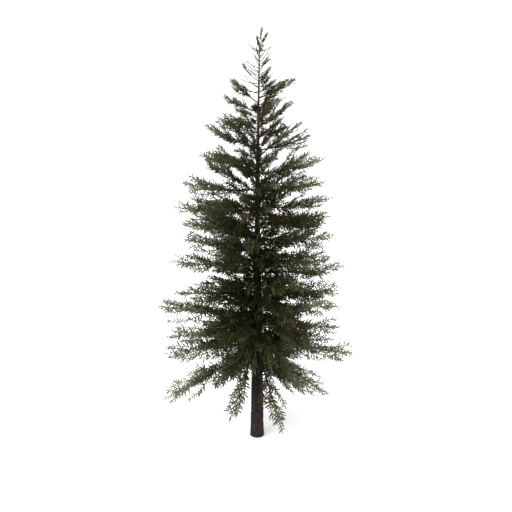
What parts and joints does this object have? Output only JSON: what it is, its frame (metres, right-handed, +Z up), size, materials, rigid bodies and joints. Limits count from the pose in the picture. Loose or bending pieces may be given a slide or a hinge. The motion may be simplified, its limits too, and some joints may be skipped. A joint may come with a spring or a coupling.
{
  "type": "cedar tree",
  "caption": "Young open-grown cedar tree: a straight tapering trunk, low drooping boughs, tiers of flat feathery plumes rising towards the top, and a thin leader.",
  "frame": {"origin": "middle of the flat cut under the trunk, at ground level", "axes": "+Z up along the trunk to the leader, +X to the right and -Y to the front of the tree as pictured"},
  "size_m": [4.5421, 3.8109, 8.9999],
  "materials": {
    "bark": "rough fissured grey-brown bark",
    "twig_bark": "matt brown bark of boughs and twigs",
    "needles": "matt dark olive-green needle sprays"
  },
  "bodies": {
    "root": {"trunk": "bark", "bough_1_left": "twig_bark", "bough_1_right": "twig_bark", "bough_1_front": "twig_bark", "bough_1_back": "twig_bark", "bough_2_left": "twig_bark", "bough_2_right": "twig_bark", "bough_2_front": "twig_bark", "bough_2_back": "twig_bark", "foliage_1_left": "needles", "foliage_1_right": "needles", "foliage_1_front": "needles", "foliage_1_back": "needles", "foliage_2_left": "needles", "foliage_2_right": "needles", "foliage_2_front": "needles", "foliage_2_back": "needles", "foliage_3_left": "needles", "foliage_3_right": "needles", "foliage_3_front": "needles", "foliage_3_back": "needles", "foliage_4_left": "needles", "foliage_4_right": "needles", "foliage_4_back": "needles", "foliage_5_left": "needles", "foliage_5_right": "needles", "foliage_5_front": "needles", "foliage_6_left": "needles", "foliage_6_right": "needles", "foliage_6_back": "needles", "foliage_7_left": "needles", "foliage_7_right": "needles", "foliage_7_front": "needles", "foliage_8_left": "needles", "foliage_8_right": "needles", "foliage_8_back": "needles", "foliage_9_left": "needles", "foliage_9_right": "needles", "foliage_9_front": "needles", "foliage_10_left": "needles", "foliage_10_right": "needles", "foliage_10_back": "needles", "foliage_11_left": "needles", "foliage_11_right": "needles", "foliage_11_front": "needles", "foliage_12_left": "needles", "foliage_12_right": "needles", "foliage_12_back": "needles", "foliage_13_left": "needles", "foliage_13_right": "needles", "foliage_13_front": "needles", "foliage_14_left": "needles", "foliage_14_right": "needles", "foliage_14_back": "needles", "foliage_15_left": "needles", "foliage_15_right": "needles", "foliage_15_front": "needles", "top_shoot_left": "needles", "top_shoot_right": "needles", "leader": "needles"}
  },
  "joints": []
}
